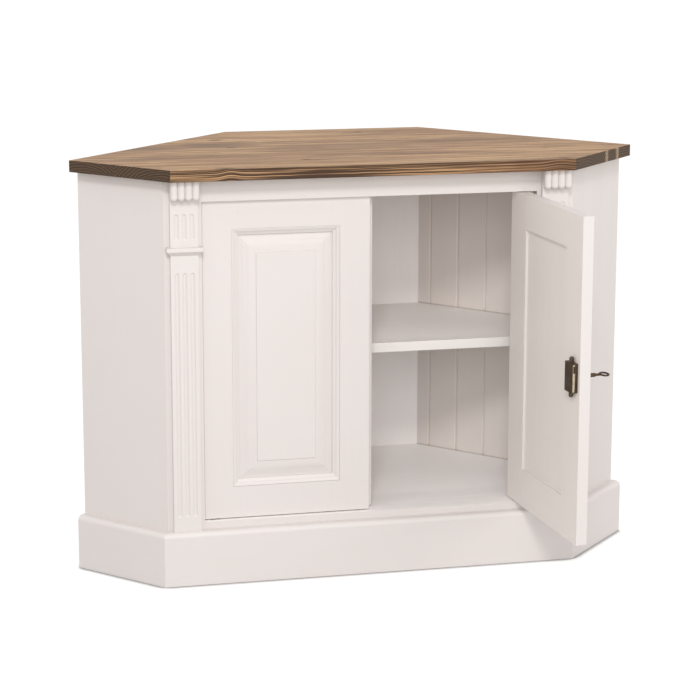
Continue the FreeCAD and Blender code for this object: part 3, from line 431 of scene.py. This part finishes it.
def lock_metal():
    """Dark lock case with upright brushing, and a painted highlight: a bright bar along the side that holds the
    bolt.
    """
    shader = Finish("lock_case")
    cloud = shader.noise(shader.coords, 4.0, 0.6, scale=PATINA_SCALE)
    brushed = shader.noise(shader.mapped(shader.coords, (1500, 1500, 60)), 3.0, 0.6)
    tone = shader.mix(shader.remap(brushed, 0.40, 0.66), srgb(58, 46, 36), srgb(104, 86, 68))
    turn = DOOR_TURN["right"]
    edge_way = (-math.cos(turn), -math.sin(turn), 0)
    inner = (-math.sin(turn), math.cos(turn), 0)
    beside = shader.remap(shader.along(shader.normal, edge_way), 0.7, 0.9)
    depth = shader.minus(shader.along(shader.coords, inner), LOCK_DEPTH)
    height = shader.math("ABSOLUTE", shader.minus(shader.split(shader.coords)[2], LOCK_HEIGHT))
    # Painted highlight: a pale bar on the case's side that faces the door's free edge
    painted_highlight = shader.times(shader.remap(depth, 0.0028, 0.0032), shader.remap(depth, 0.0068, 0.0064))
    painted_highlight = shader.times(painted_highlight, shader.remap(height, 0.0245, 0.0235))
    painted_highlight = shader.times(painted_highlight, shader.remap(cloud, 0.30, 0.52, 0.35, 1.0))
    return shader.surface(
        base_color=shader.mix(shader.times(beside, painted_highlight), tone, srgb(196, 181, 156)),
        metallic=0.6,
        roughness=shader.remap(cloud, 0.3, 0.7, 0.36, 0.54),
        normal=shader.bump(brushed, 0.12, 0.0003),
    )


paint_upright = painted("painted_upright", "Z")
paint_level = painted("painted_level", "X")
paint_rear = painted("painted_rear", "Z", inner=(0, -1, 0))
paint_floor = painted("painted_floor", "X", inner=(0, 0, 1))
paint_shelf = painted("painted_shelf", "X", paint=SHELF_EDGE_PAINTED_LIGHT, inner=(0, 0, 1))
paint_side, paint_boards, paint_rail, paint_stile = {}, {}, {}, {}
for side, turn in SIDE_TURN.items():
    inner = (-math.sin(turn), -math.cos(turn), 0)
    paint_side[side] = painted(f"painted_{side}_side", "X", turn)
    paint_boards[side] = painted(
        f"painted_{side}_boards", "Z", inner=inner, inner_painted_light=BOARDS_PAINTED_LIGHT, painted_shade=BOARD_PAINTED_SHADE
    )
for side, turn in DOOR_TURN.items():
    inner = (-math.sin(turn), math.cos(turn), 0)
    paint_rail[side] = painted(f"painted_{side}_rail", "X", turn, PAINT, inner, DOOR_BACK_PAINTED_LIGHT)
    paint_stile[side] = painted(f"painted_{side}_stile", "Z", turn, PAINT, inner, DOOR_BACK_PAINTED_LIGHT)
finishes = {
    "stained_wood": stained(),
    "raw_wood": raw_wood(),
    "burnished_metal": metal("burnished_metal", srgb(66, 52, 40), srgb(128, 101, 72), 0.40, 0.75, 0.6),
    "hinge_brass": metal("hinge_brass", srgb(196, 172, 126), srgb(214, 192, 148), 0.40, 0.7, 0.5),
    "screw_steel": metal("screw_steel", srgb(164, 164, 162), srgb(196, 196, 192), 0.34, 1.0, 0.5),
}
own_finishes = {
    "lock_case": lock_metal(),
    "shelf": paint_shelf,
    "floor_panel": paint_floor,
    "bottom_rail": paint_floor,
    "rear_panel": paint_rear,
    "top_rail": paint_level,
    "plinth_front": paint_level,
    "shelf_cleats": paint_level,
}


def finish_of(name):
    """Material of a node: paint follows the grain of its board."""
    if name in own_finishes:
        return own_finishes[name]
    if slots[name] != "painted_wood":
        return finishes[slots[name]]
    side = "left" if name.startswith("left") else "right"
    if name.endswith("_plinth"):
        return paint_side[side]
    if "_door_" in name:
        return paint_rail[side] if name.endswith("_rail") else paint_stile[side]
    return paint_boards[side] if name.endswith("_back_boards") else paint_upright


# Every board has its arrises eased a little, so that its edges catch the light; carved pieces less, and frames,
# which are planed flush after they are joined, least of all
EASED = {"stained_wood": 0.0012, "painted_wood": 0.0009, "raw_wood": 0.0008}
METAL_EASED = 0.0004
FINE_NODES, FINE_SHARE = ("pilaster", "frieze", "console", "panel_moulding", "back_boards"), 0.5
FLUSH_NODES, FLUSH_SHARE = ("_stile", "_rail"), 0.25
CRISP_NODES = ("_panel", "_panel_moulding")
WELD_DISTANCE = 0.00002
EASE_ANGLE, CRISP_ANGLE = math.radians(32), math.radians(16)


def ease(piece, width, crisp):
    piece.modifiers.new("weld", "WELD").merge_threshold = WELD_DISTANCE
    bevel = piece.modifiers.new("ease", "BEVEL")
    bevel.width = width
    bevel.segments = 2
    bevel.limit_method = "ANGLE"
    bevel.angle_limit = EASE_ANGLE
    bevel.use_clamp_overlap = True
    if crisp:
        piece.modifiers.new("split", "EDGE_SPLIT").split_angle = CRISP_ANGLE
    else:
        piece.modifiers.new("shade", "WEIGHTED_NORMAL").keep_sharp = False


for name, piece in nodes.items():
    piece.data.materials.clear()
    piece.data.materials.append(finish_of(name))
    for polygon in piece.data.polygons:
        polygon.material_index = 0
        polygon.use_smooth = True
    width = EASED.get(slots[name], METAL_EASED)
    if any(word in name for word in FINE_NODES):
        width *= FINE_SHARE
    if name.endswith(FLUSH_NODES):
        width *= FLUSH_SHARE
    ease(piece, width, name.endswith(CRISP_NODES))

# Floor, a little below the plinth so that the two never share a plane
FLOOR_SIZE = 60.0
FLOOR_DROP = 0.0004
FLOOR_PLAIN = (0.60, 0.60, 0.59, 1)
FLOOR_SEEN = (0.36, 0.35, 0.345, 1)
FLOOR_GLOW, FLOOR_GLOW_STRENGTH = (1.0, 1.0, 0.99, 1), 0.74
CONTACT_SHADOW_REACH = 0.022
corners = [(-1, -1), (1, -1), (1, 1), (-1, 1)]
floor_mesh = bpy.data.meshes.new("floor")
floor_mesh.from_pydata([(x * FLOOR_SIZE, y * FLOOR_SIZE, 0) for x, y in corners], [], [(0, 1, 2, 3)])
floor = bpy.data.objects.new("floor", floor_mesh)
scene.collection.objects.link(floor)
floor.location.z = -FLOOR_DROP


def floor_finish():
    """White sweep: it carries the object's shadow, is plain white to the camera where it is open, and has a painted
    contact shadow, a dark line where the plinth meets it."""
    shader = Finish("floor")
    plain = shader.add("ShaderNodeBsdfDiffuse")
    shader.put(plain.inputs["Color"], FLOOR_PLAIN)
    shown = shader.add("ShaderNodeBsdfDiffuse")
    shader.put(shown.inputs["Color"], FLOOR_SEEN)
    glow = shader.add("ShaderNodeEmission")
    shader.put(glow.inputs["Color"], FLOOR_GLOW)
    # Painted contact shadow: the glow fades where the floor is closed in by the plinth
    strength = shader.remap(shader.openness(CONTACT_SHADOW_REACH), 0.55, 0.80, 0.0, FLOOR_GLOW_STRENGTH)
    shader.put(glow.inputs["Strength"], strength)
    both = shader.add("ShaderNodeAddShader")
    shader.put(both.inputs[0], shown.outputs[0])
    shader.put(both.inputs[1], glow.outputs[0])
    pick = shader.add("ShaderNodeMixShader")
    shader.put(pick.inputs[0], shader.seen())
    shader.put(pick.inputs[1], plain.outputs[0])
    shader.put(pick.inputs[2], both.outputs[0])
    shader.put(shader.output.inputs[0], pick.outputs[0])
    return shader.owner


floor_mesh.materials.append(floor_finish())

# World: white to the camera, and a little weaker as light
SKY_COLOUR = (1.0, 1.0, 1.0, 1)
SKY_LIGHT, SKY_SEEN = 0.80, 1.0
scene.world = bpy.data.worlds.new("studio")
sky = Shader(scene.world, "ShaderNodeOutputWorld")
background = sky.add("ShaderNodeBackground")
sky.put(background.inputs["Color"], SKY_COLOUR)
sky.put(background.inputs["Strength"], sky.remap(sky.seen(), 0.0, 1.0, SKY_LIGHT, SKY_SEEN))
sky.put(sky.output.inputs[0], background.outputs[0])

# Soft lamps that look at the middle of the object: azimuth (0 is straight in front), elevation, size and power
AIM = Vector((0.0, 0.05, 0.42))
LAMP_DISTANCE = 4.0
LAMPS = {
    "front": (-8, 18, (2.0, 1.4), 28.5),
    "above": (-14, 38, (0.7, 0.6), 50),
    "right": (55, 12, (1.6, 1.4), 24),
}
# Weak fill just behind the front edge of the shelf, because the photograph's shadows are lifted: lower and upper
# edge, and power
FILLS = {"upper_fill": (0.430, 0.690, 0.140), "lower_fill": (0.120, 0.400, 0.070)}
FILL_Y, FILL_WIDTH = 0.100, 0.56


def lamp(name, place, toward, size, power):
    data = bpy.data.lights.new(name, "AREA")
    data.shape = "RECTANGLE"
    data.size, data.size_y = size
    data.energy = power
    thing = bpy.data.objects.new(name, data)
    thing.location = place
    thing.rotation_euler = toward.to_track_quat("-Z", "Y").to_euler()
    scene.collection.objects.link(thing)
    return thing


for name, (azimuth, elevation, size, power) in LAMPS.items():
    turn, lift = math.radians(azimuth), math.radians(elevation)
    away = Vector((math.sin(turn) * math.cos(lift), -math.cos(turn) * math.cos(lift), math.sin(lift)))
    lamp(name, AIM + away * LAMP_DISTANCE, -away, size, power)
for name, (low, high, power) in FILLS.items():
    place = Vector((0, FILL_Y, (low + high) / 2))
    fill = lamp(name, place, Vector((0, 1, 0)), (FILL_WIDTH, high - low), power)
    fill.visible_camera = False
    fill.visible_glossy = False

# Camera at the photograph's place
YAW, PITCH, ROLL = (math.radians(angle) for angle in (12.250, 10.748, 0.110))
CAMERA_PLACE = (-0.8060, -3.5167, 1.2863)
SENSOR_WIDTH, LENS = 36, 105.67
SHIFT_Y = -100 / 700
ahead = Vector((math.sin(YAW) * math.cos(PITCH), math.cos(YAW) * math.cos(PITCH), -math.sin(PITCH)))
across = Vector((math.cos(YAW), -math.sin(YAW), 0))
rise = across.cross(ahead)
right = across * math.cos(ROLL) + rise * math.sin(ROLL)
up = rise * math.cos(ROLL) - across * math.sin(ROLL)
camera_data = bpy.data.cameras.new("camera")
camera_data.sensor_width = SENSOR_WIDTH
camera_data.lens = LENS
camera_data.shift_y = SHIFT_Y
camera = bpy.data.objects.new("camera", camera_data)
camera.matrix_world = Matrix.Translation(CAMERA_PLACE) @ Matrix((right, up, -ahead)).transposed().to_4x4()
scene.collection.objects.link(camera)
scene.camera = camera
scene.view_settings.view_transform = "Standard"
